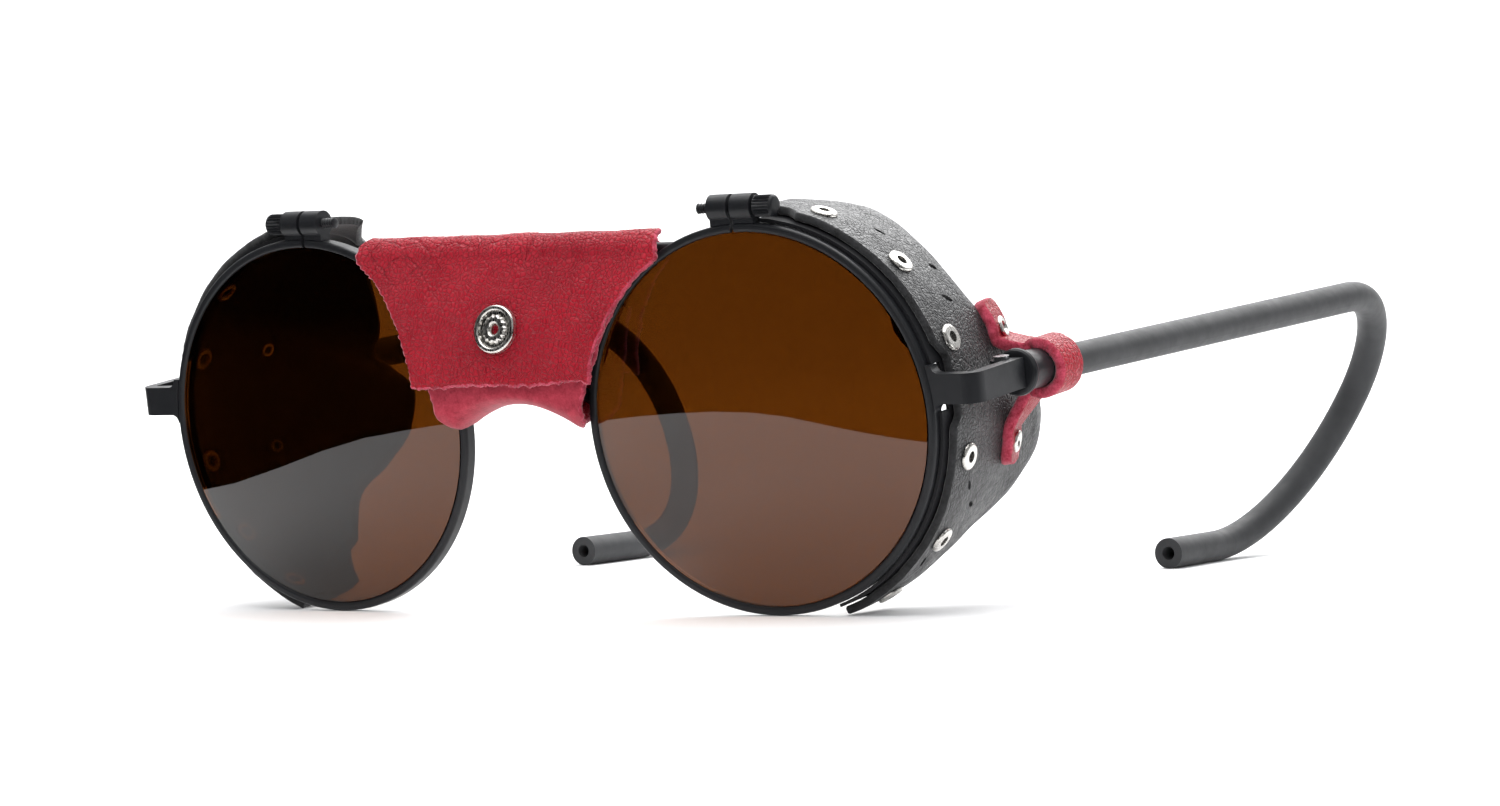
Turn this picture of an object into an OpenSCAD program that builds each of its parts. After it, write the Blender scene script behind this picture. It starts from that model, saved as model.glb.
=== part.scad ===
// Glacier glasses: round lenses in split metal rims, leather side shields,
// a folded leather nose guard and curved cable temples.
// The front is drawn upright, with the rims' front face at y = 0, and is then
// leaned so that both rims and both ear hooks stand on z = 0.

/* [Rims and lenses] */
// Clear diameter of each lens
lens_d = 49; // [46:0.5:51]
// Distance between the lens centres
lens_spacing = 71.6; // [70.6:0.2:74]
// Width of the rim wire across its face
rim_w = 1.2; // [1:0.1:1.6]
// Depth of the rim, front to back
rim_depth = 2.2; // [2:0.1:2.8]
// Outward turn of each lens
wrap_angle = 3; // [0:0.5:5]
// Thickness of the lens
lens_t = 1.8; // [1.4:0.1:2]
// Radius of the lens's spherical front
lens_curve_r = 130; // [110:5:200]

/* [Bridge] */
// Diameter of the two bridge bars
bridge_d = 2; // [1.6:0.1:2.2]
// Drop of the top bar below the rims' tops
top_bar_drop = 3.2; // [2.8:0.1:4.2]
// Height of the lower bar's ends above the lens centres
low_bar_z = 2.5; // [1:0.5:4]
// Rise of the lower bar's arch
low_bar_rise = 3; // [2:0.25:4]

/* [Rim clamps] */
// Diameter of the clamp barrel
barrel_d = 3.5; // [3.2:0.1:4]
// Length of the clamp barrel
barrel_len = 6.4; // [6:0.2:7]
// Diameter of the clamp screw
clamp_screw_d = 1.4; // [1.2:0.1:1.6]
// Diameter of the thumb head
thumb_head_d = 2.9; // [2.6:0.1:3.2]
// Length of the thumb head
thumb_head_len = 3; // [2.6:0.1:3.4]

/* [End pieces and hinges] */
// Reach of the end pieces beyond the rims
end_reach = 6.5; // [6:0.1:7.5]
// Height of the end piece bar
end_bar_h = 3.9; // [3.6:0.1:4.4]
// Thickness of the end piece bar
end_bar_t = 1.7; // [1.5:0.1:1.8]
// Diameter of the hinge screw
hinge_pin_d = 1.1; // [1:0.05:1.3]

/* [Temples] */
// Outer diameter of the rubber tube
tube_d = 4.3; // [4:0.1:4.6]
// Diameter of the hole at the tube's open tip
tube_bore_d = 1.9; // [1.6:0.1:2.2]
// Length from the hinge to the ear bend
temple_len = 92; // [84:1:100]
// Radius of the ear bend
ear_bend_r = 15.5; // [14:0.5:18]
// Angle of the ear bend
ear_bend_angle = 98; // [90:1:104]
// Radius of the hook below the ear
hook_r = 24.5; // [22:0.5:28]
// Straight length at the tip
tip_len = 14; // [10:1:18]
// Inward lean of the hooks
hook_lean = 28; // [20:1:32]

/* [Leather] */
// Thickness of the shield leather
shield_t = 1.1; // [0.9:0.1:1.3]
// Thickness of the nose leather
nose_t = 0.8; // [0.7:0.05:0.9]
// Overlap of the nose flap's top corners on each rim
flap_lap = 14.2; // [13:0.1:15.2]
// Diameter of the snap cap
snap_d = 6.6; // [6:0.1:7.4]
// Width of the temple loop strap
loop_w = 5; // [4:0.25:5.5]
// Thickness of the temple loop strap
loop_t = 1.5; // [1:0.1:1.7]

/* [Hidden] */
EYELETS = 6;
SIDES = ["left", "right"];
SIDE_PARTS = ["rim", "lens", "end_piece", "clamp_outer", "clamp_inner",
    "clamp_screw", "hinge_screw", "shield_leather", "shield_strip",
    "temple_hinge", "temple_core", "temple_tube", "temple_loop",
    "loop_rivet_upper", "loop_rivet_lower"];

$fn = 48;
ring_facets = 128;
sweep_facets = 96;
hole_facets = 16;
eps = 0.01;

// Colours
BLACK_METAL = [0.12, 0.12, 0.13];
SILVER = [0.8, 0.8, 0.8];
BROWN_GLASS = [0.35, 0.2, 0.1, 0.7];
DARK_RUBBER = [0.22, 0.22, 0.23];
STEEL = [0.6, 0.6, 0.62];
BLACK_LEATHER = [0.1, 0.1, 0.1];
RED_LEATHER = [0.7, 0.1, 0.17];

// Rim
rim_in = lens_d / 2;
rim_out = rim_in + rim_w;
rim_mid = rim_depth / 2;
rim_round = 0.45;
rim_split = 0.5;
groove_half = 0.7;
groove_deep = 0.55;
groove_gap = 0.08;

// Bridge
top_bar_z = rim_out - top_bar_drop;
bar_y = rim_mid;
nose_half = lens_spacing / 2 - rim_out;
low_bar_d = 0.9 * bridge_d;
low_bar_lap = 1;

// Lens
lens_sag = lens_curve_r - sqrt(pow(lens_curve_r, 2) - pow(rim_in, 2));
lens_apex = rim_mid - lens_t / 2 - lens_sag;
lens_edge_half = 0.5;

// Clamps
clamp_shift = -1;
clamp_lift = 2;
clamp_z = rim_out + clamp_lift;
lug_w = 1.9;
lug_end = barrel_len / 2;
screw_gap = 0.05;
thumb_gap = 0.1;
thumb_dome_r = 2.2;
thumb_flutes = 10;
thumb_flute_d = 0.5;
screw_tail = 2;

// End pieces and hinges
end_x = lens_spacing / 2 + rim_out + end_reach;
end_root = lens_spacing / 2 + rim_out;
end_z = 3.5;
end_y = 1.5;
bend_r = 2.2;
end_fillet = 1.1;
bar_rear = 13.7;
end_bite = 2;
hinge_inset = 2.4;
hinge_x = end_x - hinge_inset;
hinge_y = 12.3;
knuckle_r = 1.5;
knuckle_h = 1.3;
knuckle_gap = 0.08;
pin_gap = 0.05;
hinge_head_d = 2;
hinge_head_h = 0.45;
tongue_w = 1.6;

// Temples
temple_inset = 1.6;
temple_x = end_x - temple_inset;
temple_y = 12.5;
temple_droop = 3;
temple_spread = 1.2;
hook_turn = 184.6;
hook_angle = hook_turn - ear_bend_angle;
flange_y = 1.5;
flange_t = 1.2;
flange_lip = 0.95;
flange_d = tube_d + 2 * flange_lip;
collar_wall = 0.4;
collar_d = tube_d + 2 * collar_wall;
collar_len = 4;
core_gap = 0.05;
core_d = tube_bore_d - 2 * core_gap;
core_tip = 1;

// Side shields, as angles about the lens axis and depths behind the rims
shield_top = 87;
shield_bottom = -71;
shield_gap = 0.17;
shield_taper = 0.08;
curl_depth = 11;
curl_end = 80;
shield_rows = 30;
shield_cols = 10;
// Angle about the lens axis, then the depth where the leather's front edge starts
front_depth = [[-71, 2.4], [-4, 2.4], [-1, 3.8], [16, 3.8], [20, 2.4], [74, 2.4], [78, 3.8], [87, 3.8]];
// Angle about the lens axis, then the depth where the leather starts to curl
shield_depth = [[-71, 7.8], [-64, 7.8], [-54, 9], [-43, 13], [-34, 21], [-24, 26.5], [-12, 27],
    [0, 24.5], [13, 19.5], [26, 14.5], [38, 13], [49, 13.5], [60, 14], [71, 12], [87, 7.8]];
// Angle about the lens axis, then how far the curl reaches inward
curl_in = [[-71, 1.5], [-64, 4], [-54, 8], [-43, 9], [-34, 9], [-24, 10], [-15, 12], [-6, 14],
    [4, 15], [15, 17], [27, 18.5], [38, 18.5], [49, 17.5], [56, 14.5], [64, 8], [71, 4], [87, 1.5]];
// Angle about the lens axis, then the share of the curl's full depth
curl_share = [[-71, 0.64], [-60, 0.78], [-48, 1], [60, 1], [71, 0.9], [87, 0.7]];
strip_t = 0.45;
strip_front = rim_mid + 0.1;
strip_rear = 7.6;
strip_gap = 0.08;
strip_notch = 4;
strip_r = rim_out + strip_gap;
// The strip stops short of the clamp
strip_top = acos((clamp_shift + lug_end + 2 * strip_gap) / strip_r);
shield_r = strip_r + strip_t + shield_gap + shield_t / 2;
// Radius of the leather's middle, straight over the strip and tapered behind it
function shield_wall(y) = shield_r - shield_taper * max(0, y - strip_rear);
clip_w = 3;
clip_t = 0.4;
clip_reach = 1.6;
clip_angles = [58, 30, -26, -54];
eyelet_angles = [70, 44, 19.5, -13, -38, -61];
eyelet_y = 6;
eyelet_d = 3.6;
eyelet_hole = 1.5;
eyelet_barrel = 2.1;
eyelet_rim = 0.4;
eyelet_lift = 0.06;
hole_gap = 0.2;
strip_hole_gap = 0.1;

// Temple loop, which rides on the tube and is riveted through the shield
loop_y = 19.5;
loop_mid = loop_y + loop_w / 2;
loop_gap = 0.3;
tab_gap = 0.3;
loop_r = tube_d / 2 + loop_gap + loop_t / 2;
tube_at_loop = [temple_x + (loop_mid - temple_y) * sin(temple_spread),
    end_z - (loop_mid - temple_y) * sin(temple_droop)];
axis_at_loop = lens_spacing / 2 - loop_mid * sin(wrap_angle);
// The tabs lie on the leather where the strap's front edge crosses it
tab_depth = loop_y - shield_r * sin(wrap_angle);
function tab_curl(a) = max(0, (tab_depth - lookup(a, shield_depth)) / curl_depth);
function tab_r(a) = shield_wall(min(tab_depth, lookup(a, shield_depth)))
    - lookup(a, curl_in) * (1 - sqrt(1 - pow(tab_curl(a), 2))) + shield_t / 2 + tab_gap + loop_t / 2;
loop_open = 125;
loop_steps = 18;
tab_upper = [14, 18, 22, 26];
tab_lower = [-9, -13, -17, -20];
rivet_upper = 17.5;
rivet_lower = -14;
rivet_d = 3;
rivet_hole = 1.2;
rivet_barrel = 1.8;
rivet_rim = 0.35;

// Nose leather, as a profile across the bars
bar_gap = 0.1;
sleeve_gap = 0.15;
back_sleeve_r = bridge_d / 2 + bar_gap + nose_t / 2;
flap_sleeve_r = back_sleeve_r + nose_t + sleeve_gap;
flap_top_w = nose_half + flap_lap;
flap_top = [bar_y - flap_sleeve_r, top_bar_z];
flap_bottom = [-6.6, 6.3];
flap_bulge = [-0.9, -0.2];
flap_steps = 8;
flap_wrap = 90;
flap_slope = atan2(flap_top[0] - flap_bottom[0], flap_top[1] - flap_bottom[1]);
// Centre and radius of the circles that the flap's sides follow
flap_side = [lens_spacing / 2 + 0.7, 3.2, rim_out - 3.3];
nose_cols = 9;
back_top_w = nose_half + 11.4;
back_fold_w = nose_half - 0.7;
back_flare = 0.9;
rear_inset = 1.2;
back_arch_z = 3.4;
back_arch_h = 1.8;
back_arch_y = -1.25;
back_lobe_drop = 3.4;
back_rear_y = max(bar_y + back_sleeve_r, rim_depth + bar_gap + nose_t / 2);
back_rear_z = [17, 12, 8];
back_front_t = [0.8, 0.62, 0.38];
back_inset = 0.8;
snap_z = 13.4;
snap_gap = 0.25;
snap_slack = 0.05;
stud_gap = 0.3;
snap_t = 0.9;
snap_face_t = 0.5;
snap_ring = 0.7;
snap_post_d = 1.8;
snap_hole = 1.1;
socket_d = 5.2;
socket_bore = 3.6;
socket_t = 0.6;
stud_d = 1.6;
stud_base_d = 4.6;
stud_base_t = 0.3;
// Distance between the middles of the flap and of the layer behind it
back_layer_gap = nose_t + snap_gap + socket_t + 3 * snap_slack;

// Stance: the front leans until rims and hooks touch one plane
function bend_end(r, a) = [r * sin(a), r * (cos(a) - 1)];
function turned(p, a) = [p[0] * cos(a) + p[1] * sin(a), p[1] * cos(a) - p[0] * sin(a)];
function temple_point(p) = [
    temple_y + p[0] * cos(temple_droop) + p[1] * cos(hook_lean) * sin(temple_droop),
    end_z - p[0] * sin(temple_droop) + p[1] * cos(hook_lean) * cos(temple_droop)];
hook_low = temple_point([temple_len, 0] + bend_end(ear_bend_r, ear_bend_angle)
    + turned(bend_end(hook_r, hook_angle), ear_bend_angle));
hook_back = temple_point([temple_len, 0] + bend_end(ear_bend_r, 80));
stand_angle = atan2(tube_d / 2 - hook_low[1] - rim_out, hook_low[0]);
stand_z = rim_out * cos(stand_angle);
stand_y = (hook_back[0] + tube_d / 2 + flap_bottom[0] - nose_t) / 2;

// Frames
module standing() {
    translate([0, -stand_y, stand_z]) rotate([stand_angle, 0, 0]) children();
}

module sided(side) {
    if (side == "left") children();
    else mirror([1, 0, 0]) children();
}

module lens_frame() {
    translate([lens_spacing / 2, 0, 0]) rotate([0, 0, wrap_angle]) children();
}

// Turns a shape drawn about z so that it lies about y
module about_y() {
    rotate([-90, 0, 0]) children();
}

module about_x() {
    rotate([0, 90, 0]) children();
}

// Turns x towards z, so that children lie at an angle about the lens axis
module at_angle(a) {
    rotate([0, -a, 0]) children();
}

module temple_frame() {
    translate([temple_x, temple_y, end_z])
        rotate([0, 0, -temple_spread]) rotate([-temple_droop, 0, 0]) rotate([0, hook_lean, 0]) children();
}

module after_bend(r, a) {
    translate([0, r * sin(a), r * (cos(a) - 1)]) rotate([-a, 0, 0]) children();
}

// Shared shapes
function arc(cx, cy, r, from, to, n) =
    [for (i = [0:n]) let (a = from + (to - from) * i / n) [cx + r * cos(a), cy + r * sin(a)]];

// A closed thick skin between two grids of points with the same rows and columns
module skin(outer, inner) {
    rows = len(outer);
    cols = len(outer[0]);
    count = rows * cols;
    points = concat([for (row = outer) for (p = row) p], [for (row = inner) for (p = row) p]);
    function at(i, j, layer) = layer * count + i * cols + j;
    function quad(a, b, c, d) = [[a, b, c], [a, c, d]];
    top = [for (i = [0:rows - 2]) for (j = [0:cols - 2])
        each quad(at(i, j, 0), at(i, j + 1, 0), at(i + 1, j + 1, 0), at(i + 1, j, 0))];
    bottom = [for (i = [0:rows - 2]) for (j = [0:cols - 2])
        each quad(at(i, j, 1), at(i + 1, j, 1), at(i + 1, j + 1, 1), at(i, j + 1, 1))];
    ends = [for (i = [0:rows - 2]) each concat(
        quad(at(i, 0, 0), at(i + 1, 0, 0), at(i + 1, 0, 1), at(i, 0, 1)),
        quad(at(i, cols - 1, 0), at(i, cols - 1, 1), at(i + 1, cols - 1, 1), at(i + 1, cols - 1, 0)))];
    sides = [for (j = [0:cols - 2]) each concat(
        quad(at(0, j, 0), at(0, j, 1), at(0, j + 1, 1), at(0, j + 1, 0)),
        quad(at(rows - 1, j, 0), at(rows - 1, j + 1, 0), at(rows - 1, j + 1, 1), at(rows - 1, j, 1)))];
    polyhedron(points = points, faces = concat(top, bottom, ends, sides));
}

// Everything inside both rims' outer circles, for trimming what meets them
module rim_space() {
    for (side = SIDES) sided(side) lens_frame() about_y()
        cylinder(r = rim_out, h = 8 * rim_depth, center = true, $fn = sweep_facets);
}

// Rims and lenses
module rim() {
    color(BLACK_METAL) lens_frame() difference() {
        about_y() rotate_extrude($fn = ring_facets) difference() {
            polygon(concat(
                arc(rim_in + rim_round, rim_round, rim_round, 270, 180, 4),
                arc(rim_in + rim_round, rim_depth - rim_round, rim_round, 180, 90, 4),
                arc(rim_out - rim_round, rim_depth - rim_round, rim_round, 90, 0, 4),
                arc(rim_out - rim_round, rim_round, rim_round, 0, -90, 4)));
            polygon([[rim_in - eps, rim_mid - groove_half], [rim_in + groove_deep, rim_mid],
                [rim_in - eps, rim_mid + groove_half]]);
        }
        translate([clamp_shift - rim_split / 2, -rim_depth, rim_in - rim_w])
            cube([rim_split, 3 * rim_depth, 4 * rim_w]);
    }
}

module lens() {
    color(BROWN_GLASS) lens_frame() about_y() difference() {
        intersection() {
            rotate_extrude($fn = ring_facets) polygon([[0, lens_apex - eps],
                [rim_in - groove_gap, lens_apex - eps], [rim_in - groove_gap, rim_mid - lens_edge_half],
                [rim_in + groove_deep - 2 * groove_gap, rim_mid],
                [rim_in - groove_gap, rim_mid + lens_edge_half],
                [rim_in - groove_gap, rim_depth * 2], [0, rim_depth * 2]]);
            translate([0, 0, lens_apex + lens_curve_r]) sphere(r = lens_curve_r, $fn = ring_facets);
        }
        translate([0, 0, lens_apex + lens_curve_r]) sphere(r = lens_curve_r - lens_t, $fn = ring_facets);
    }
}

// Bridge
module bridge_top_bar() {
    color(BLACK_METAL) difference() {
        translate([0, bar_y, top_bar_z]) about_x()
            cylinder(d = bridge_d, h = lens_spacing, center = true);
        rim_space();
    }
}

module bridge_lower_bar() {
    half = nose_half + low_bar_lap;
    r = (pow(half, 2) + pow(low_bar_rise, 2)) / (2 * low_bar_rise);
    a = asin(half / r);
    color(BLACK_METAL) difference() {
        translate([0, bar_y - rim_mid / 2, low_bar_z + low_bar_rise - r]) about_y()
            rotate([0, 0, -90 - a]) rotate_extrude(angle = 2 * a, $fn = sweep_facets)
                translate([r, 0]) circle(d = low_bar_d);
        rim_space();
    }
}

// Clamps on top of the rims
module clamp_lug(from) {
    color(BLACK_METAL) lens_frame() difference() {
        translate([clamp_shift + from, rim_mid, clamp_z]) union() {
            about_x() cylinder(d = barrel_d, h = lug_end - rim_split / 2);
            translate([0, -lug_w / 2, -barrel_d]) cube([lug_end - rim_split / 2, lug_w, barrel_d]);
        }
        translate([clamp_shift, rim_mid, clamp_z]) about_x()
            cylinder(d = clamp_screw_d + 2 * screw_gap, h = 2 * barrel_len, center = true);
        about_y() cylinder(r = rim_out, h = 8 * rim_depth, center = true, $fn = ring_facets);
    }
}

module clamp_outer() {
    clamp_lug(rim_split / 2);
}

module clamp_inner() {
    clamp_lug(-lug_end);
}

module clamp_screw() {
    color(BLACK_METAL) lens_frame() translate([clamp_shift, rim_mid, clamp_z]) about_x() union() {
        translate([0, 0, -lug_end - screw_tail])
            cylinder(d = clamp_screw_d, h = 2 * lug_end + screw_tail + thumb_gap + eps);
        translate([0, 0, lug_end + thumb_gap]) difference() {
            intersection() {
                cylinder(d = thumb_head_d, h = thumb_head_len);
                translate([0, 0, thumb_head_len - thumb_dome_r]) sphere(r = thumb_dome_r);
            }
            for (i = [1:thumb_flutes]) rotate([0, 0, i * 360 / thumb_flutes])
                translate([thumb_head_d / 2, 0, -eps])
                    cylinder(d = thumb_flute_d, h = thumb_head_len, $fn = hole_facets);
        }
    }
}

// End pieces and hinges
module end_piece() {
    leaf_h = (end_bar_h - knuckle_h) / 2 - knuckle_gap;
    low = end_z - end_bar_h / 2;
    color(BLACK_METAL) difference() {
        union() {
            translate([end_root - end_bite, end_y, low])
                cube([end_x - bend_r - end_root + end_bite, end_bar_t, end_bar_h]);
            translate([end_root - end_bite, end_y, low - end_fillet])
                cube([end_bite + end_fillet, end_bar_t, end_bar_h + 2 * end_fillet]);
            translate([end_x - bend_r, end_y + bend_r, low]) rotate([0, 0, -90])
                rotate_extrude(angle = 90) translate([bend_r - end_bar_t, 0]) square([end_bar_t, end_bar_h]);
            translate([end_x - end_bar_t, end_y + bend_r, low])
                cube([end_bar_t, bar_rear - end_y - bend_r, end_bar_h]);
            for (z = [low, low + end_bar_h - leaf_h]) translate([hinge_x, hinge_y, z])
                cylinder(r = knuckle_r, h = leaf_h);
        }
        for (z = [low - end_fillet, low + end_bar_h + end_fillet])
            translate([end_root + end_fillet, 0, z]) about_y()
                cylinder(r = end_fillet, h = 4 * end_bar_t);
        translate([hinge_x, hinge_y, end_z - knuckle_h / 2 - knuckle_gap])
            cylinder(r = knuckle_r + 2 * knuckle_gap, h = knuckle_h + 2 * knuckle_gap);
        translate([hinge_x, hinge_y, low - eps]) cylinder(d = hinge_pin_d, h = 2 * end_bar_h);
        rim_space();
    }
}

module hinge_screw() {
    color(STEEL) translate([hinge_x, hinge_y, end_z - end_bar_h / 2]) difference() {
        union() {
            cylinder(d = hinge_pin_d, h = end_bar_h + eps);
            translate([0, 0, end_bar_h]) cylinder(d = hinge_head_d, h = hinge_head_h);
        }
        translate([-hinge_head_d / 2, -hinge_head_h / 4, end_bar_h + hinge_head_h / 2])
            cube([hinge_head_d, hinge_head_h / 2, hinge_head_h]);
    }
}

// Metal end of the temple: hinge tongue, round flange and the collar over the tube
module temple_hinge() {
    color(BLACK_METAL) difference() {
        union() {
            translate([hinge_x, hinge_y, end_z - knuckle_h / 2]) cylinder(r = knuckle_r, h = knuckle_h);
            translate([hinge_x - tongue_w / 2, hinge_y, end_z - knuckle_h / 2])
                cube([tongue_w, temple_y + flange_y + flange_t / 2 - hinge_y, knuckle_h]);
            temple_frame() translate([0, flange_y, 0]) about_y() rotate_extrude() polygon(concat([[0, 0]],
                arc(flange_d / 2 - flange_t / 2, flange_t / 2, flange_t / 2, -90, 90, 6),
                [[collar_d / 2, flange_t], [collar_d / 2, flange_t + collar_len],
                [0, flange_t + collar_len]]));
        }
        translate([hinge_x, hinge_y, 0]) cylinder(d = hinge_pin_d + 2 * pin_gap, h = 4 * end_bar_h);
        temple_frame() translate([0, flange_y + flange_t, 0]) about_y()
            cylinder(d = tube_d, h = 2 * collar_len);
        temple_frame() translate([0, flange_y + flange_t / 2, 0]) about_y()
            cylinder(d = core_d, h = collar_len);
    }
}

// Temples
module rod_line(d, l) {
    about_y() cylinder(d = d, h = l);
}

module rod_bend(d, r, a) {
    translate([0, 0, -r]) rotate([0, -90, 0]) rotate_extrude(angle = a, $fn = sweep_facets)
        translate([r, 0]) circle(d = d);
}

// A rod along the temple's line from the hinge end to the given length of tip
module temple_rod(d, start, tip) {
    translate([0, start, 0]) rod_line(d, temple_len - start);
    translate([0, temple_len, 0]) {
        rod_bend(d, ear_bend_r, ear_bend_angle);
        after_bend(ear_bend_r, ear_bend_angle) {
            rod_bend(d, hook_r, hook_angle);
            after_bend(hook_r, hook_angle) rod_line(d, tip);
        }
    }
}

module temple_tube() {
    color(DARK_RUBBER) temple_frame() difference() {
        temple_rod(tube_d, flange_y + flange_t, tip_len);
        temple_rod(tube_bore_d, flange_y, tip_len + 1);
    }
}

module temple_core() {
    color(STEEL) temple_frame() temple_rod(core_d, flange_y + flange_t / 2, core_tip);
}

// Side shields
function shield_point(a, s, off) =
    let (front = lookup(a, front_depth),
         deep = lookup(a, shield_depth),
         reach = lookup(a, curl_in),
         t = max(0, 2 * s - 1) * curl_end,
         y = s < 0.5 ? front + (deep - front) * 2 * s
             : deep + (curl_depth * lookup(a, curl_share) + off) * sin(t),
         rad = s < 0.5 ? shield_wall(y) + off : shield_wall(deep) - reach + (reach + off) * cos(t))
    [rad * cos(a), y, rad * sin(a)];

function shield_grid(off) = [for (i = [0:shield_rows]) [for (j = [0:shield_cols])
    shield_point(shield_top + (shield_bottom - shield_top) * i / shield_rows, j / shield_cols, off)]];

// Runs children outward through the shield at an angle and a depth ahead of its taper
module through_shield(a, y) {
    at_angle(a) translate([shield_r, y, 0]) about_x() children();
}

module shield_leather() {
    color(BLACK_LEATHER) difference() {
        lens_frame() difference() {
            skin(shield_grid(shield_t / 2), shield_grid(-shield_t / 2));
            for (a = eyelet_angles) through_shield(a, eyelet_y)
                cylinder(d = eyelet_barrel + 2 * hole_gap, h = 4 * shield_t, center = true,
                    $fn = hole_facets);
        }
        for (a = [rivet_upper, rivet_lower]) through_loop(a)
            cylinder(d = rivet_barrel + 3 * hole_gap, h = 8 * shield_t, center = true, $fn = hole_facets);
    }
}

module shield_strip() {
    color(BLACK_METAL) lens_frame() difference() {
        union() {
            at_angle(strip_top) about_y()
                rotate_extrude(angle = strip_top - shield_bottom, $fn = ring_facets)
                    translate([strip_r, strip_front]) square([strip_t, strip_rear - strip_front]);
            for (a = clip_angles) at_angle(a)
                translate([strip_r - clip_reach, rim_depth + strip_gap, -clip_w / 2])
                    cube([clip_reach + strip_t / 2, clip_t, clip_w]);
        }
        for (a = eyelet_angles) through_shield(a, eyelet_y)
            cylinder(d = eyelet_barrel + strip_hole_gap, h = 8 * shield_t, center = true);
        translate([rim_out - strip_notch / 4, -strip_notch / 2, end_z - end_bar_h / 2 - end_fillet])
            cube([strip_notch, end_y + end_bar_t + strip_notch / 2, end_bar_h + 2 * end_fillet]);
    }
}

module shield_eyelet(i) {
    inside = shield_r - strip_r + strip_hole_gap;
    color(SILVER) lens_frame() through_shield(eyelet_angles[i - 1], eyelet_y) difference() {
        union() {
            translate([0, 0, -inside])
                cylinder(d = eyelet_barrel, h = inside + shield_t / 2 + eyelet_rim / 2);
            translate([0, 0, shield_t / 2 + eyelet_lift]) rotate_extrude() polygon(concat([[0, 0]],
                arc(eyelet_d / 2 - eyelet_rim, 0, eyelet_rim, 0, 90, 4), [[0, eyelet_rim]]));
        }
        cylinder(d = eyelet_hole, h = 8 * shield_t, center = true);
    }
}

// Temple loop: a strap bent round the tube, with a tab above and a tab below
function tab_point(a) = [axis_at_loop + tab_r(a) * cos(a), tab_r(a) * sin(a)];

function loop_line() = concat(
    [for (i = [len(tab_upper) - 1:-1:0]) tab_point(tab_upper[i])],
    arc(tube_at_loop[0], tube_at_loop[1], loop_r, loop_open, -loop_open, loop_steps),
    [for (a = tab_lower) tab_point(a)]);

function strip_side(line, off) = [for (i = [0:len(line) - 1])
    let (a = line[max(i - 1, 0)], b = line[min(i + 1, len(line) - 1)], d = b - a)
    line[i] + off * [d[1], -d[0]] / norm(d)];

module temple_loop() {
    line = loop_line();
    left_side = strip_side(line, loop_t / 2);
    right_side = strip_side(line, -loop_t / 2);
    color(RED_LEATHER) difference() {
        translate([0, loop_mid + loop_w / 2, 0]) rotate([90, 0, 0]) linear_extrude(height = loop_w)
            polygon(concat(left_side, [for (i = [len(line) - 1:-1:0]) right_side[i]]));
        for (a = [rivet_upper, rivet_lower]) through_loop(a)
            cylinder(d = rivet_barrel, h = 8 * shield_t, center = true);
    }
}

module through_loop(a) {
    translate([axis_at_loop, loop_mid, 0]) at_angle(a) translate([tab_r(a), 0, 0]) about_x() children();
}

module loop_rivet(a) {
    color(SILVER) through_loop(a) difference() {
        union() {
            translate([0, 0, -loop_t / 2 - shield_t - loop_gap])
                cylinder(d = rivet_barrel, h = loop_t + shield_t + loop_gap + rivet_rim / 2);
            translate([0, 0, loop_t / 2]) rotate_extrude() polygon(concat([[0, 0]],
                arc(rivet_d / 2 - rivet_rim, 0, rivet_rim, 0, 90, 4), [[0, rivet_rim]]));
        }
        cylinder(d = rivet_hole, h = 8 * shield_t, center = true);
    }
}

// Nose leather: half widths follow the rims' circles
function side_w(z) = flap_side[0] - sqrt(max(0, pow(flap_side[2], 2) - pow(z - flap_side[1], 2)));
function rear_w(z) = lens_spacing / 2 - sqrt(pow(rim_in, 2) - pow(z, 2)) - rear_inset;
function around_bar(r, a) = [bar_y + r * cos(a), top_bar_z + r * sin(a)];

// A point down the flap's front, from the bar at 0 to the hem at 1
function flap_line(t, off) = flap_top + (flap_bottom - flap_top) * t + flap_bulge * sin(180 * t)
    + off * [-cos(flap_slope), sin(flap_slope)];

// The flap's profile from behind the bar, over it and down the front, at an offset
function flap_profile(off) = concat(
    [for (a = [flap_wrap:15:165]) concat(around_bar(flap_sleeve_r + off, a), flap_top_w)],
    [for (i = [0:flap_steps]) let (p = flap_line(i / flap_steps, off))
        concat(p, min(flap_top_w, side_w(p[1])))]);

function grid_across(profile, cols) = [for (p = profile) [for (j = [0:cols])
    [p[2] * (2 * j / cols - 1), p[0], p[1]]]];

module nose_leather_flap() {
    color(RED_LEATHER) difference() {
        skin(grid_across(flap_profile(-nose_t / 2), nose_cols),
            grid_across(flap_profile(nose_t / 2), nose_cols));
        at_snap() cylinder(d = snap_post_d + hole_gap, h = 2 * nose_t, center = true, $fn = hole_facets);
    }
}

// The back piece: over the bar, down behind it, under the lower bar and up the front
function back_profile(off) = concat(
    [for (a = [150:-30:0]) concat(around_bar(back_sleeve_r + off, a), back_top_w)],
    [for (z = back_rear_z) [back_rear_y + off, z, rear_w(z)]],
    [for (a = [0:-30:-180]) [back_arch_y + (back_rear_y - back_arch_y + off) * cos(a),
        back_arch_z + back_arch_h + (back_arch_h + off) * sin(a),
        back_fold_w + back_flare * max(0, -cos(a))]],
    [for (t = back_front_t) let (p = flap_line(t, off - back_layer_gap))
        concat(p, side_w(p[1]) - back_inset)]);

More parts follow.
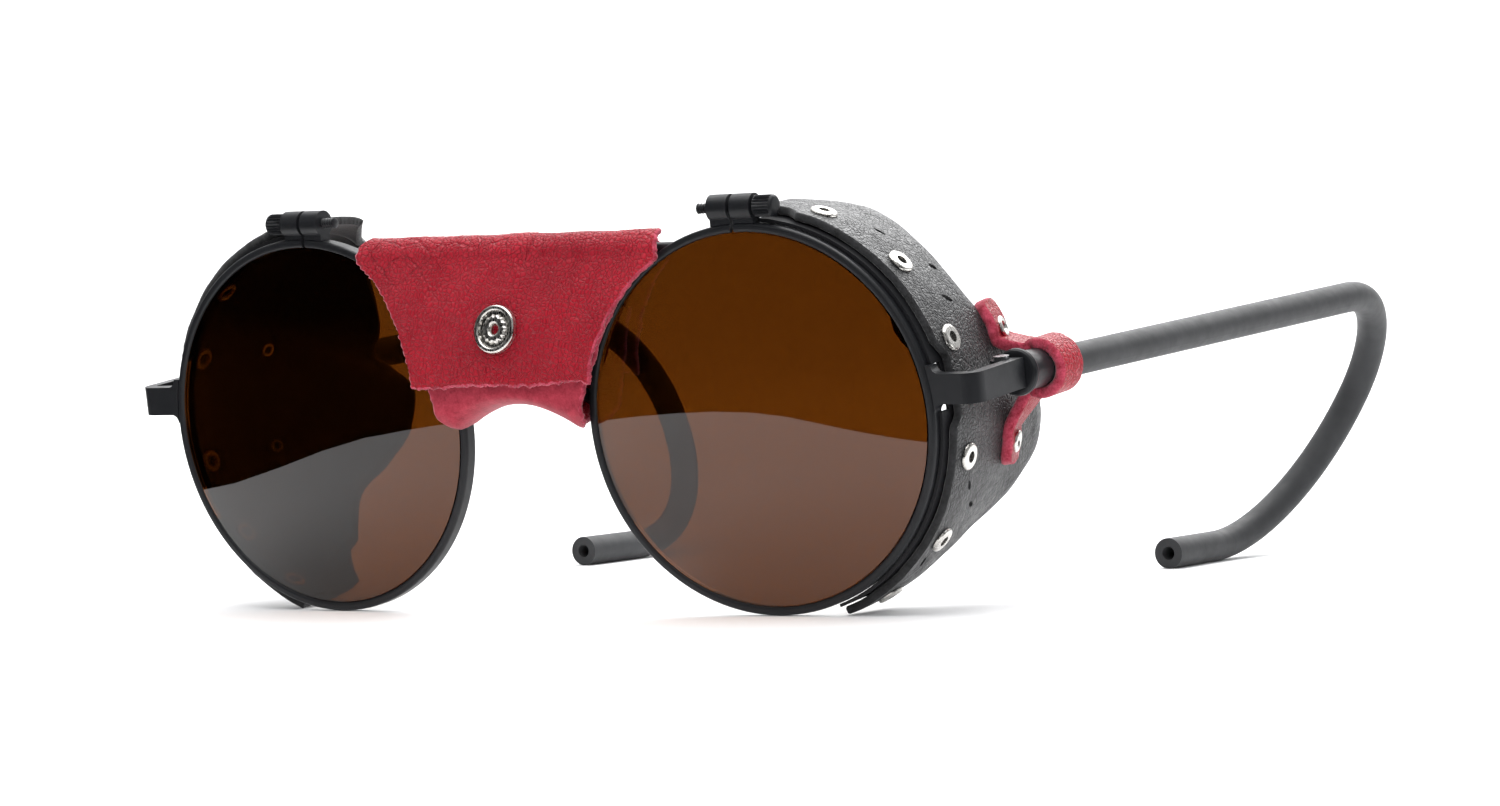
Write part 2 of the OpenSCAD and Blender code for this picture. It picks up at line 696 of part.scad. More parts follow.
module nose_leather_back() {
    function lobed(p) = p[2] > low_bar_z + low_bar_rise + bridge_d ? p
        : [p[0], p[1], p[2] - back_lobe_drop * pow(p[0] / back_fold_w, 2)];
    function lobes(grid) = [for (row = grid) [for (p = row) lobed(p)]];
    outer = lobes(grid_across(back_profile(nose_t / 2), nose_cols));
    inner = lobes(grid_across(back_profile(-nose_t / 2), nose_cols));
    color(RED_LEATHER) difference() {
        skin(outer, inner);
        at_snap() translate([0, 0, -back_layer_gap])
            cylinder(d = stud_d + hole_gap, h = 2 * nose_t, center = true, $fn = hole_facets);
    }
}

// Snap: a cap and socket on the flap, and a stud on the layer behind
snap_y = flap_bottom[0] + (snap_z - flap_bottom[1]) * tan(flap_slope) + flap_bulge[0];

module at_snap() {
    translate([0, snap_y, snap_z]) rotate([90 - flap_slope, 0, 0]) children();
}

module snap_cap() {
    color(SILVER) at_snap() translate([0, 0, nose_t / 2 + snap_slack]) difference() {
        union() {
            cylinder(d = snap_d, h = snap_face_t);
            rotate_extrude() polygon(arc(snap_d / 2 - snap_ring, snap_face_t, snap_ring / 2, 0, 180, 6));
            cylinder(d = snap_d / 2, h = snap_t);
            translate([0, 0, -nose_t - snap_slack]) cylinder(d = snap_post_d, h = nose_t + 2 * snap_slack);
        }
        cylinder(d = snap_hole, h = 8 * nose_t, center = true);
    }
}

module snap_socket() {
    color(SILVER) at_snap() translate([0, 0, -nose_t / 2 - snap_gap - socket_t]) difference() {
        cylinder(d = socket_d, h = socket_t);
        translate([0, 0, -eps]) cylinder(d = socket_bore, h = 2 * socket_t);
    }
}

module snap_stud() {
    base = back_layer_gap + nose_t / 2 + stud_gap + stud_base_t;
    color(SILVER) at_snap() translate([0, 0, -base]) difference() {
        union() {
            cylinder(d = stud_base_d, h = stud_base_t);
            cylinder(d = stud_d, h = base - nose_t);
        }
        translate([0, 0, -eps]) cylinder(d = stud_d / 2, h = base);
    }
}

for (side = SIDES) {
    standing() sided(side) rim();
    standing() sided(side) lens();
    standing() sided(side) end_piece();
    standing() sided(side) clamp_outer();
    standing() sided(side) clamp_inner();
    standing() sided(side) clamp_screw();
    standing() sided(side) hinge_screw();
    standing() sided(side) shield_leather();
    standing() sided(side) shield_strip();
    standing() sided(side) temple_hinge();
    standing() sided(side) temple_core();
    standing() sided(side) temple_tube();
    standing() sided(side) temple_loop();
    standing() sided(side) loop_rivet(rivet_upper);
    standing() sided(side) loop_rivet(rivet_lower);
    for (i = [1:EYELETS])
        standing() sided(side) shield_eyelet(i);
}
standing() bridge_top_bar();
standing() bridge_lower_bar();
standing() nose_leather_back();
standing() nose_leather_flap();
standing() snap_cap();
standing() snap_socket();
standing() snap_stud();
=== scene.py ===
"""Looks of the glacier glasses: camera, studio, materials and leather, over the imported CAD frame."""

import math

import bpy
import numpy as np
from mathutils import Matrix, Vector


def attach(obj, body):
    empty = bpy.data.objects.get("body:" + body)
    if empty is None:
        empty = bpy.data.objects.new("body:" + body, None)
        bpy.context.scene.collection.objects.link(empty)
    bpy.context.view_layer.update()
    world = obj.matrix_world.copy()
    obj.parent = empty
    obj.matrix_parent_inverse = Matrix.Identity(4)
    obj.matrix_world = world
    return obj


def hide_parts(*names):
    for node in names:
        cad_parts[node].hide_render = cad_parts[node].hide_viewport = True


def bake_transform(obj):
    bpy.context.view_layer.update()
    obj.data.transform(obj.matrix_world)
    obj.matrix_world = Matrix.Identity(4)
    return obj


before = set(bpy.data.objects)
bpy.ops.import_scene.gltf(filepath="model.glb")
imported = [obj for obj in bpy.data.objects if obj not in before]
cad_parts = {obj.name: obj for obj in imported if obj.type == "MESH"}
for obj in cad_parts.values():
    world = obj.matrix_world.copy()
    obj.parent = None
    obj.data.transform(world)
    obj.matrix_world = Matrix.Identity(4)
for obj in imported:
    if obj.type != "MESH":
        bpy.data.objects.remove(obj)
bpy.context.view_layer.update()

MM = 0.001
SIDES = {"left": 1, "right": -1}

# Sizes of the upright front, in mm, as the CAD has them
STANCE = math.radians(7.0177)
STAND_Y, STAND_Z = 56.8878, 25.5075
LENS_X, WRAP = 35.8, math.radians(3)
RIM_OUT, RIM_MID = 25.7, 1.1
TEMPLE_X, TEMPLE_Y, END_Z = 66.4, 12.5, 3.5
LENS_R = 24.5

# Angles, in degrees, above which an edge shows as sharp
CUT_ANGLE, TURNED_ANGLE = 50.0, 40.0


# ---------------------------------------------------------------- frames
def to_scene(points):
    """Points of the upright front, in mm, to the leaned object, in metres."""
    p = np.asarray(points, float)
    c, s = math.cos(STANCE), math.sin(STANCE)
    out = np.empty_like(p)
    out[..., 0] = p[..., 0]
    out[..., 1] = p[..., 1] * c - p[..., 2] * s - STAND_Y
    out[..., 2] = p[..., 1] * s + p[..., 2] * c + STAND_Z
    return out * MM


def from_lens(points, side):
    """Points about a lens's axis, in mm, to the upright front on the given side."""
    p = np.asarray(points, float)
    c, s = math.cos(WRAP), math.sin(WRAP)
    out = np.empty_like(p)
    out[..., 0] = side * (p[..., 0] * c - p[..., 1] * s + LENS_X)
    out[..., 1] = p[..., 0] * s + p[..., 1] * c
    out[..., 2] = p[..., 2]
    return out


def unit(v):
    return v / np.maximum(np.linalg.norm(v, axis=-1, keepdims=True), 1e-12)


# ---------------------------------------------------------------- camera
def make_camera():
    azimuth, elevation, roll = (math.radians(v) for v in (33.316, 2.146, -2.243))
    flat = math.cos(elevation)
    back = Vector((math.sin(azimuth) * flat, -math.cos(azimuth) * flat, math.sin(elevation)))
    level = Vector((math.cos(azimuth), math.sin(azimuth), 0))
    up = back.cross(level)
    right = level * math.cos(roll) + up * math.sin(roll)
    up = back.cross(right)
    data = bpy.data.cameras.new("camera")
    data.sensor_width, data.lens = 36, 126.744
    data.clip_start, data.clip_end = 0.01, 20
    cam = bpy.data.objects.new("camera", data)
    bpy.context.collection.objects.link(cam)
    turn = Matrix((right, up, back)).transposed().to_4x4()
    cam.matrix_world = Matrix.Translation((0.40824, -0.62538, 0.05332)) @ turn
    bpy.context.scene.camera = cam


# ---------------------------------------------------------------- materials
def new_material(name):
    m = bpy.data.materials.new(name)
    m.use_nodes = True
    nt = m.node_tree
    return m, nt, nt.nodes["Principled BSDF"]


def node(nt, kind, inputs=(), **settings):
    n = nt.nodes.new(kind)
    for k, v in settings.items():
        setattr(n, k, v)
    for k, v in dict(inputs).items():
        if isinstance(v, bpy.types.NodeSocket):
            nt.links.new(v, n.inputs[k])
        else:
            n.inputs[k].default_value = v
    return n


def texture_point(nt, scale=(1, 1, 1)):
    coord = node(nt, "ShaderNodeTexCoord")
    return node(nt, "ShaderNodeMapping", {"Vector": coord.outputs["Object"], "Scale": scale}).outputs[0]


def noise(nt, point, scale, detail=3.0, rough=0.55, distort=0.0):
    inputs = {"Vector": point, "Scale": scale, "Detail": detail, "Roughness": rough, "Distortion": distort}
    return node(nt, "ShaderNodeTexNoise", inputs).outputs[0]


def ramp(nt, fac, stops):
    r = node(nt, "ShaderNodeValToRGB", {"Fac": fac})
    e = r.color_ramp.elements
    while len(e) < len(stops):
        e.new(0.5)
    for el, (pos, colour) in zip(e, stops):
        el.position = pos
        el.color = (*colour, 1) if len(colour) == 3 else (*([colour[0]] * 3), 1)
    return r.outputs[0]


def math_node(nt, operation, a, b=0.5):
    return node(nt, "ShaderNodeMath", {0: a, 1: b}, operation=operation).outputs[0]


def mix_colour(nt, fac, a, b):
    n = node(nt, "ShaderNodeMix", data_type="RGBA")
    for socket, v in ((n.inputs[0], fac), (n.inputs[6], a), (n.inputs[7], b)):
        if isinstance(v, bpy.types.NodeSocket):
            nt.links.new(v, socket)
        else:
            socket.default_value = v if isinstance(v, float) else (*v, 1)
    return n.outputs[2]


def to_range(nt, value, low, high, new_low, new_high):
    return node(nt, "ShaderNodeMapRange", {0: value, 1: low, 2: high, 3: new_low, 4: new_high}).outputs[0]


def bump(nt, height, distance, strength=1.0, under=None):
    inputs = {"Height": height, "Distance": distance, "Strength": strength}
    if under is not None:
        inputs["Normal"] = under
    return node(nt, "ShaderNodeBump", inputs).outputs[0]


def grain_leather(name, dark, base, light, cell, rough, depth, crease, shine, sheen=0.0):
    """Pebbled grain with fine wrinkles, with painted shade in the creases between pebbles; light is the tone
    where it is stretched and worn, laid on the pebble tops as painted sheen.
    """
    m, nt, b = new_material(name)
    p = texture_point(nt)
    warp = node(nt, "ShaderNodeTexNoise", {"Vector": p, "Scale": 260.0, "Detail": 2.0})
    bent = node(nt, "ShaderNodeMix", {0: 0.0016, 4: p, 5: warp.outputs[1]}, data_type="VECTOR").outputs[1]

    def cell_edges(size):
        inputs = {"Vector": bent, "Scale": 1 / (size * MM)}
        return node(nt, "ShaderNodeTexVoronoi", inputs, feature="DISTANCE_TO_EDGE").outputs[0]

    pebble = ramp(nt, cell_edges(cell), [(0.0, (0.0,)), (0.12, (0.75,)), (0.45, (1.0,))])
    fine = noise(nt, p, 2600.0, 3.0)
    fold_line = ramp(nt, cell_edges(6.5 * cell), [(0.0, (0.0,)), (0.06, (1.0,))])
    patch = ramp(nt, noise(nt, p, 70.0, 2.0), [(0.42, (0.0,)), (0.62, (1.0,))])
    folds_here = math_node(nt, "MULTIPLY", math_node(nt, "SUBTRACT", fold_line, 1.0), patch)
    tone = noise(nt, p, 110.0, 4.0, 0.6)
    colour = mix_colour(nt, to_range(nt, tone, 0.3, 0.7, 0.0, 1.0), dark, base)
    # Painted shade: darker in the creases between the pebbles.
    colour = mix_colour(nt, to_range(nt, pebble, 0.0, 1.0, 0.75, 0.0), colour, dark)
    wear_and_sheen = node(nt, "ShaderNodeAttribute", attribute_name="wear_and_sheen").outputs["Fac"]
    # Painted glints: the pebble tops turn to the light tone where the mask of wear and sheen is high.
    painted_pebble_glints = to_range(nt, math_node(nt, "MULTIPLY", fine, pebble), 0.3, 0.75, 0.0, 1.0)
    colour = mix_colour(nt, math_node(nt, "MULTIPLY", wear_and_sheen, painted_pebble_glints), colour, light)
    nt.links.new(colour, b.inputs["Base Color"])
    gloss = to_range(nt, noise(nt, p, 900.0, 2.0), 0.3, 0.7, rough - 0.06, rough + 0.1)
    nt.links.new(gloss, b.inputs["Roughness"])
    b.inputs["Specular IOR Level"].default_value = shine
    b.inputs["Sheen Weight"].default_value = sheen
    b.inputs["Sheen Roughness"].default_value = 0.5
    n = bump(nt, folds_here, crease * MM, 0.8)
    n = bump(nt, pebble, depth * MM, 0.9, n)
    nt.links.new(bump(nt, fine, 0.02 * MM, 0.35, n), b.inputs["Normal"])
    return m


def flesh_leather(name, dark, light, rough=0.85, depth=0.08):
    """The fibrous back or cut edge of leather."""
    m, nt, b = new_material(name)
    p = texture_point(nt)
    fibres = noise(nt, p, 3200.0, 4.0, 0.7, 0.4)
    clumps = noise(nt, p, 700.0, 3.0, 0.6)
    both = math_node(nt, "MULTIPLY", math_node(nt, "ADD", fibres, clumps), 0.5)
    colour = mix_colour(nt, to_range(nt, both, 0.36, 0.64, 0.0, 1.0), dark, light)
    nt.links.new(colour, b.inputs["Base Color"])
    b.inputs["Roughness"].default_value = rough
    b.inputs["Specular IOR Level"].default_value = 0.25
    b.inputs["Sheen Weight"].default_value = 0.25
    nt.links.new(bump(nt, both, depth * MM, 0.9), b.inputs["Normal"])
    return m


def painted_metal(name, colour, rough, chip=(0.16, 0.16, 0.17)):
    """Satin paint on metal, with a fine orange peel and faint scuffs."""
    m, nt, b = new_material(name)
    p = texture_point(nt)
    peel = noise(nt, p, 1900.0, 2.0, 0.5)
    scuff = ramp(nt, noise(nt, p, 520.0, 6.0, 0.75, 0.6), [(0.66, (0.0,)), (0.78, (0.35,))])
    cloud = to_range(nt, noise(nt, p, 160.0, 3.0), 0.3, 0.7, 0.0, 0.35)
    tone = mix_colour(nt, cloud, colour, tuple(1.5 * c for c in colour))
    nt.links.new(mix_colour(nt, scuff, tone, chip), b.inputs["Base Color"])
    gloss = to_range(nt, noise(nt, p, 420.0, 4.0), 0.3, 0.7, rough - 0.05, rough + 0.08)
    nt.links.new(gloss, b.inputs["Roughness"])
    b.inputs["Specular IOR Level"].default_value = 0.3
    nt.links.new(bump(nt, peel, 0.012 * MM, 0.5), b.inputs["Normal"])
    return m


def bare_metal(name, colour, rough, tarnish):
    """Plated metal with fine brush marks and tarnish in patches."""
    m, nt, b = new_material(name)
    p = texture_point(nt, (1, 1, 0.2))
    streaks = noise(nt, p, 3500.0, 3.0, 0.6)
    spots = to_range(nt, noise(nt, texture_point(nt), 900.0, 4.0, 0.7), 0.45, 0.7, 0.0, 0.6)
    nt.links.new(mix_colour(nt, spots, colour, tarnish), b.inputs["Base Color"])
    b.inputs["Metallic"].default_value = 1.0
    nt.links.new(to_range(nt, streaks, 0.3, 0.7, rough - 0.05, rough + 0.12), b.inputs["Roughness"])
    nt.links.new(bump(nt, streaks, 0.008 * MM, 0.4), b.inputs["Normal"])
    return m


def soft_rubber(name):
    m, nt, b = new_material(name)
    p = texture_point(nt)
    cloud = noise(nt, p, 90.0, 4.0, 0.6)
    dark, light = (0.022, 0.0225, 0.024), (0.038, 0.039, 0.041)
    colour = mix_colour(nt, to_range(nt, cloud, 0.3, 0.7, 0.0, 1.0), dark, light)
    nt.links.new(colour, b.inputs["Base Color"])
    nt.links.new(to_range(nt, noise(nt, p, 600.0, 3.0), 0.3, 0.7, 0.5, 0.64), b.inputs["Roughness"])
    b.inputs["Specular IOR Level"].default_value = 0.25
    b.inputs["Sheen Weight"].default_value = 0.12
    b.inputs["Sheen Roughness"].default_value = 0.4
    nt.links.new(bump(nt, noise(nt, p, 2400.0, 3.0), 0.02 * MM, 0.5), b.inputs["Normal"])
    return m


def brown_lens(name):
    """Tinted glass that lets the lamps' light through to what is behind it."""
    m, nt, b = new_material(name)
    tint = (0.049, 0.0128, 0.0011)
    haze = noise(nt, texture_point(nt), 35.0, 2.0)
    deeper = tuple(0.9 * c for c in tint)
    colour = mix_colour(nt, to_range(nt, haze, 0.3, 0.7, 0.0, 0.25), tint, deeper)
    nt.links.new(colour, b.inputs["Base Color"])
    b.inputs["Roughness"].default_value = 0.0
    b.inputs["IOR"].default_value = 1.54
    b.inputs["Transmission Weight"].default_value = 1.0
    clear = node(nt, "ShaderNodeBsdfTransparent", {"Color": (0.4, 0.27, 0.14, 1)})
    ray = node(nt, "ShaderNodeLightPath")
    shaders = {0: ray.outputs["Is Shadow Ray"], 1: b.outputs[0], 2: clear.outputs[0]}
    mix = node(nt, "ShaderNodeMixShader", shaders)
    out = next(n for n in nt.nodes if n.type == "OUTPUT_MATERIAL")
    nt.links.new(mix.outputs[0], out.inputs[0])
    return m


def pale_floor(name):
    m, nt, b = new_material(name)
    cloud = noise(nt, texture_point(nt), 6.0, 3.0)
    dark, light = (0.86, 0.86, 0.865), (0.88, 0.88, 0.88)
    colour = mix_colour(nt, to_range(nt, cloud, 0.3, 0.7, 0.0, 1.0), dark, light)
    nt.links.new(colour, b.inputs["Base Color"])
    b.inputs["Roughness"].default_value = 0.75
    b.inputs["Specular IOR Level"].default_value = 0.2
    return m


BLACK = painted_metal("black_metal", (0.009, 0.0095, 0.0112), 0.37)
TRIM = painted_metal("black_trim", (0.01, 0.01, 0.0115), 0.5)
STEEL = bare_metal("steel", (0.46, 0.46, 0.47), 0.3, (0.2, 0.2, 0.2))
BRIGHT = bare_metal("bright_metal", (0.74, 0.72, 0.68), 0.24, (0.45, 0.43, 0.4))
BACKS = bare_metal("eyelet_back", (0.92, 0.9, 0.86), 0.5, (0.6, 0.58, 0.55))
GLASS = brown_lens("lens_glass")
RUBBER = soft_rubber("temple_rubber")
# The third tone of each grain leather is worn leather with painted sheen on the pebble tops.
SHIELD = grain_leather("shield_leather", (0.003, 0.003, 0.0035), (0.011, 0.0115, 0.0125),
    (0.06, 0.062, 0.066), cell=0.62, rough=0.4, depth=0.12, crease=0.12, shine=0.42, sheen=0.04)
SHIELD_BACK = flesh_leather("shield_leather_back", (0.003, 0.003, 0.003), (0.009, 0.009, 0.0095))
SHIELD_EDGE = flesh_leather("shield_leather_edge", (0.006, 0.006, 0.006), (0.028, 0.028, 0.03), 0.8)
RED = grain_leather("red_leather", (0.25, 0.003, 0.012), (0.39, 0.005, 0.018), (0.55, 0.05, 0.08),
    cell=0.62, rough=0.4, depth=0.16, crease=0.24, shine=0.24)
RED_BACK = flesh_leather("red_leather_back", (0.22, 0.006, 0.02), (0.42, 0.03, 0.055))
RED_EDGE = flesh_leather("red_leather_edge", (0.2, 0.004, 0.014), (0.56, 0.07, 0.12), 0.9, 0.16)


# ---------------------------------------------------------------- meshes
def add_mesh(name, verts, faces, materials, indices=None, angle=CUT_ANGLE):
    me = bpy.data.meshes.new(name)
    me.from_pydata([tuple(v) for v in verts], [], faces)
    for m in materials:
        me.materials.append(m)
    if indices is not None:
        me.polygons.foreach_set("material_index", np.asarray(indices, np.int32))
    me.shade_smooth()
    me.set_sharp_from_angle(angle=math.radians(angle))
    me.update()
    ob = bpy.data.objects.new(name, me)
    bpy.context.collection.objects.link(ob)
    return ob


def smooth_path(points, count):
    """count points evenly along a Catmull-Rom curve through the rows of points."""
    p = np.asarray(points, float)
    ext = np.vstack([2 * p[0] - p[1], p, 2 * p[-1] - p[-2]])
    out = []
    for i in range(1, len(ext) - 2):
        t = np.linspace(0, 1, 24, endpoint=False)[:, None]
        a, b, c, d = ext[i - 1], ext[i], ext[i + 1], ext[i + 2]
        square, cube = 2 * a - 5 * b + 4 * c - d, 3 * b - a - 3 * c + d
        out.append(0.5 * (2 * b + (c - a) * t + square * t**2 + cube * t**3))
    out = np.vstack(out + [p[-1:]])
    along = np.concatenate([[0], np.cumsum(np.linalg.norm(np.diff(out, axis=0), axis=1))])
    at = np.linspace(0, along[-1], count)
    return np.stack([np.interp(at, along, out[:, k]) for k in range(out.shape[1])], 1)


def ripple(points, scale, seed):
    """Smooth noise from sums of sines, about -1 to 1, for points in mm."""
    rng = np.random.default_rng(seed)
    total = np.zeros(points.shape[:-1])
    for _ in range(7):
        direction = unit(rng.normal(size=points.shape[-1]))
        wave = points @ direction * 2 * math.pi / scale * rng.uniform(0.6, 1.6)
        total += np.sin(wave + rng.uniform(0, 6.28))
    return total / 3.2


def leather_sheet(name, mid, thick, materials, seed, wear_and_sheen, rag, round_by, relief=0.0, flip=False):
    """A sheet round mid, a grid of points in mm, with two skins and a rounded, ragged cut edge."""
    n, m = mid.shape[:2]
    normal = unit(np.cross(np.gradient(mid, axis=0), np.gradient(mid, axis=1)))
    if flip:
        normal = -normal
    border = [(0, j) for j in range(m)] + [(i, m - 1) for i in range(1, n)]
    border += [(n - 1, j) for j in range(m - 2, -1, -1)] + [(i, 0) for i in range(n - 2, 0, -1)]
    bi = np.array([b[0] for b in border])
    bj = np.array([b[1] for b in border])
    edge_p, edge_n = mid[bi, bj], normal[bi, bj]
    inward = mid[np.clip(bi, 1, n - 2), np.clip(bj, 1, m - 2)] - edge_p
    out_dir = -unit(inward - (inward * edge_n).sum(-1, keepdims=True) * edge_n)
    jag = rag * (ripple(edge_p, 0.9, seed) + 0.8 * ripple(edge_p, 2.7, seed + 1))[:, None]
    body = mid + normal * (relief * ripple(mid, 9.0, seed + 2))[..., None] if relief else mid.copy()
    body[bi, bj] += out_dir * jag
    top, under = body + normal * thick / 2, body - normal * thick / 2
    for skin in (top, under):
        skin[bi, bj] -= out_dir * round_by
    rows = []
    for t in (0.2, 0.5, 0.8):
        fuzz = 0.5 * rag * ripple(edge_p * 1.7, 0.7, seed + int(10 * t))[:, None]
        through = edge_n * thick * (0.5 - t) * (1 + 0.25 * fuzz)
        bulge = out_dir * (fuzz + 0.6 * round_by * (1 - (2 * t - 1) ** 2))
        rows.append(body[bi, bj] + through + bulge)
    count, ring = n * m, len(border)
    verts = np.vstack([top.reshape(-1, 3), under.reshape(-1, 3)] + rows)
    grid = np.arange(count).reshape(n, m)
    a, b, c, d = (g.ravel() for g in (grid[:-1, :-1], grid[:-1, 1:], grid[1:, 1:], grid[1:, :-1]))
    upper = np.stack([a, d, c, b], 1)
    lower = np.stack([a, b, c, d], 1) + count
    between = [2 * count + k * ring + np.arange(ring) for k in range(len(rows))]
    loops = [grid[bi, bj], *between, grid[bi, bj] + count]
    sides = [np.stack([u, np.roll(u, -1), np.roll(v, -1), v], 1) for u, v in zip(loops, loops[1:])]
    faces = np.vstack([upper, lower] + sides)
    if flip:
        faces = faces[:, ::-1]
    kinds = np.concatenate([np.zeros(len(upper)), np.ones(len(lower)), np.full(sum(map(len, sides)), 2)])
    ob = add_mesh(name, to_scene(verts), faces.tolist(), materials, kinds)
    # Per-point mask of wear and painted sheen, read by the grain leather.
    values = np.zeros(len(verts), np.float32)
    values[:count] = wear_and_sheen.ravel()
    values[count : 2 * count] = wear_and_sheen.ravel()
    ob.data.attributes.new("wear_and_sheen", "FLOAT", "POINT").data.foreach_set("value", values)
    return ob


def cut_holes(ob, holes):
    """Cuts elliptical holes through ob: each is centre, along, across and normal, in scene metres."""
    verts, faces = [], []
    turns = 20
    for centre, along, across, normal in holes:
        base = len(verts)
        for end in (-1, 1):
            for k in range(turns):
                a = 2 * math.pi * k / turns
                verts.append(centre + along * math.cos(a) + across * math.sin(a) + normal * end)
        faces.append([base + k for k in range(turns)][::-1])
        faces.append([base + turns + k for k in range(turns)])
        for k in range(turns):
            nxt = (k + 1) % turns
            faces.append([base + k, base + nxt, base + turns + nxt, base + turns + k])
    cutter = add_mesh(ob.name + "_cutter", verts, faces, list(ob.data.materials), [2] * len(faces))
    mod = ob.modifiers.new("holes", "BOOLEAN")
    mod.operation, mod.solver, mod.object = "DIFFERENCE", "EXACT", cutter
    made = bpy.data.meshes.new_from_object(ob.evaluated_get(bpy.context.evaluated_depsgraph_get()))
    ob.modifiers.clear()
    ob.data = made
    ob.data.set_sharp_from_angle(angle=math.radians(CUT_ANGLE))
    bpy.data.objects.remove(cutter)


# ---------------------------------------------------------------- side shields
SHIELD_T, SHIELD_R, STRIP_REAR, TAPER = 1.1, 26.95, 7.6, 0.08
CURL_DEPTH, CURL_END = 11.0, math.radians(80)
SHIELD_TOP, SHIELD_BOTTOM = 87.0, -71.0
# Tables of an angle about the lens axis, then a size in mm or a share
FRONT_DEPTH = np.array([(-71, 2.4), (-4, 2.4), (-1, 3.8), (16, 3.8), (20, 2.4), (74, 2.4),
    (78, 3.8), (87, 3.8)])
SHIELD_DEPTH = np.array([(-71, 7.8), (-64, 7.8), (-54, 9), (-43, 13), (-34, 21), (-24, 26.5), (-12, 27),
    (0, 24.5), (13, 19.5), (26, 14.5), (38, 13), (49, 13.5), (60, 14), (71, 12), (87, 7.8)])
CURL_IN = np.array([(-71, 1.5), (-64, 4), (-54, 8), (-43, 9), (-34, 9), (-24, 10), (-15, 12), (-6, 14),
    (4, 15), (15, 17), (27, 18.5), (38, 18.5), (49, 17.5), (56, 14.5), (64, 8), (71, 4), (87, 1.5)])
CURL_SHARE = np.array([(-71, 0.64), (-60, 0.78), (-48, 1), (60, 1), (71, 0.9), (87, 0.7)])
EYELETS = (70, 44, 19.5, -13, -38, -61)
# Each slit: angle, depth, half length, half width and lean
SLITS = ((56, 9.4, 0.9, 0.42, 20), (40, 12.6, 0.75, 0.4, 50), (30, 10.3, 1.15, 0.38, 60),
    (-22, 7.9, 0.9, 0.38, 35), (-29, 10.6, 0.8, 0.38, 60), (-46, 5.3, 0.9, 0.38, 15))


def shield_wall(depth):
    """Radius of the leather's middle: straight over the strip, tapered behind it."""
    return SHIELD_R - TAPER * np.maximum(0, depth - STRIP_REAR)


def along_table(table, angles):
    line = smooth_path(table, 400)
    return np.interp(angles, line[:, 0], line[:, 1])


def shield_mid(angles, shares):
    """The shield's middle surface about the lens axis: straight behind the rim, then curled inward."""
    deep = along_table(SHIELD_DEPTH, angles)[:, None]
    reach = along_table(CURL_IN, angles)[:, None]
    curl = CURL_DEPTH * along_table(CURL_SHARE, angles)[:, None]
    front = np.interp(angles, FRONT_DEPTH[:, 0], FRONT_DEPTH[:, 1])[:, None]
    s = shares[None, :]
    t = np.clip(2 * s - 1, 0, 1) * CURL_END
    straight = front + (deep - front) * np.clip(2 * s, 0, 1)
    y = straight + curl * np.sin(t)
    rad = shield_wall(straight) - reach + reach * np.cos(t)
    a = np.radians(angles)[:, None]
    return np.stack([rad * np.cos(a), y, rad * np.sin(a)], -1)


def make_shield(side_name, side):
    angles = np.linspace(SHIELD_TOP, SHIELD_BOTTOM, 190)
    shares = np.linspace(0, 1, 84)
    mid = shield_mid(angles, shares)
    turn = np.clip(2 * shares - 1, 0, 1)[None, :] * np.ones((len(angles), 1))
    # Lighter near the curl's turn: partly wear, partly painted sheen.
    wear_and_sheen = np.clip(0.25 + 0.5 * np.exp(-(((turn - 0.25) / 0.25) ** 2)) + 0.2 * ripple(mid, 14.0, 5), 0, 1)
    ob = leather_sheet("shield_leather_" + side_name + "_detail", from_lens(mid, side), SHIELD_T,
        [SHIELD, SHIELD_BACK, SHIELD_EDGE], 11, wear_and_sheen, rag=0.05, round_by=0.14, relief=0.08, flip=side < 0)
    holes = []
    for angle, depth, half_long, half_wide, lean in SLITS:
        a, lean = math.radians(angle), math.radians(lean)
        r = float(shield_wall(depth))
        centre = np.array([r * math.cos(a), depth, r * math.sin(a)])
        out = np.array([math.cos(a), TAPER, math.sin(a)])
        round_rim = np.array([math.sin(a), 0, -math.cos(a)])
        back = np.array([0, 1.0, 0])
        along = half_long * (round_rim * math.cos(lean) + back * math.sin(lean))
        across = half_wide * (-round_rim * math.sin(lean) + back * math.cos(lean))
        ends = np.array([centre, centre + along, centre + across, centre + 1.5 * out])
        points = to_scene(from_lens(ends, side))
        holes.append((points[0], points[1] - points[0], points[2] - points[0], points[3] - points[0]))
    cut_holes(ob, holes)
    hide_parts("shield_leather_" + side_name)
    start = to_scene(np.array([side * 58.0, 9.0, 3.0]))
    end = to_scene(np.array([side * 58.0, 26.0, 3.0]))
    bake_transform(ob)


# ---------------------------------------------------------------- nose leather
BAR_Y, BAR_Z, NOSE_T = 1.1, 22.5, 0.8
BACK_SLEEVE, FLAP_SLEEVE = 1.5, 2.45
FLAP_TOP, FLAP_BOTTOM = np.array([BAR_Y - FLAP_SLEEVE, BAR_Z]), np.array([-6.6, 6.3])
FLAP_BULGE = np.array([-0.9, -0.2])
FLAP_SLOPE = math.atan2(FLAP_TOP[0] - FLAP_BOTTOM[0], FLAP_TOP[1] - FLAP_BOTTOM[1])
FLAP_HALF, FLAP_LEFT, FLAP_RIGHT, SIDE_CIRCLE = 24.3, 24.9, 23.7, (36.5, 3.2, 22.4)
LAYER_GAP = 1.8
SNAP_Z = 13.4


def side_half(z):
    return SIDE_CIRCLE[0] - np.sqrt(np.maximum(0, SIDE_CIRCLE[2] ** 2 - (z - SIDE_CIRCLE[1]) ** 2))


def flap_line(t, off=0.0):
    p = FLAP_TOP + (FLAP_BOTTOM - FLAP_TOP) * t + FLAP_BULGE * math.sin(math.pi * t)
    return p + off * np.array([-math.cos(FLAP_SLOPE), math.sin(FLAP_SLOPE)])


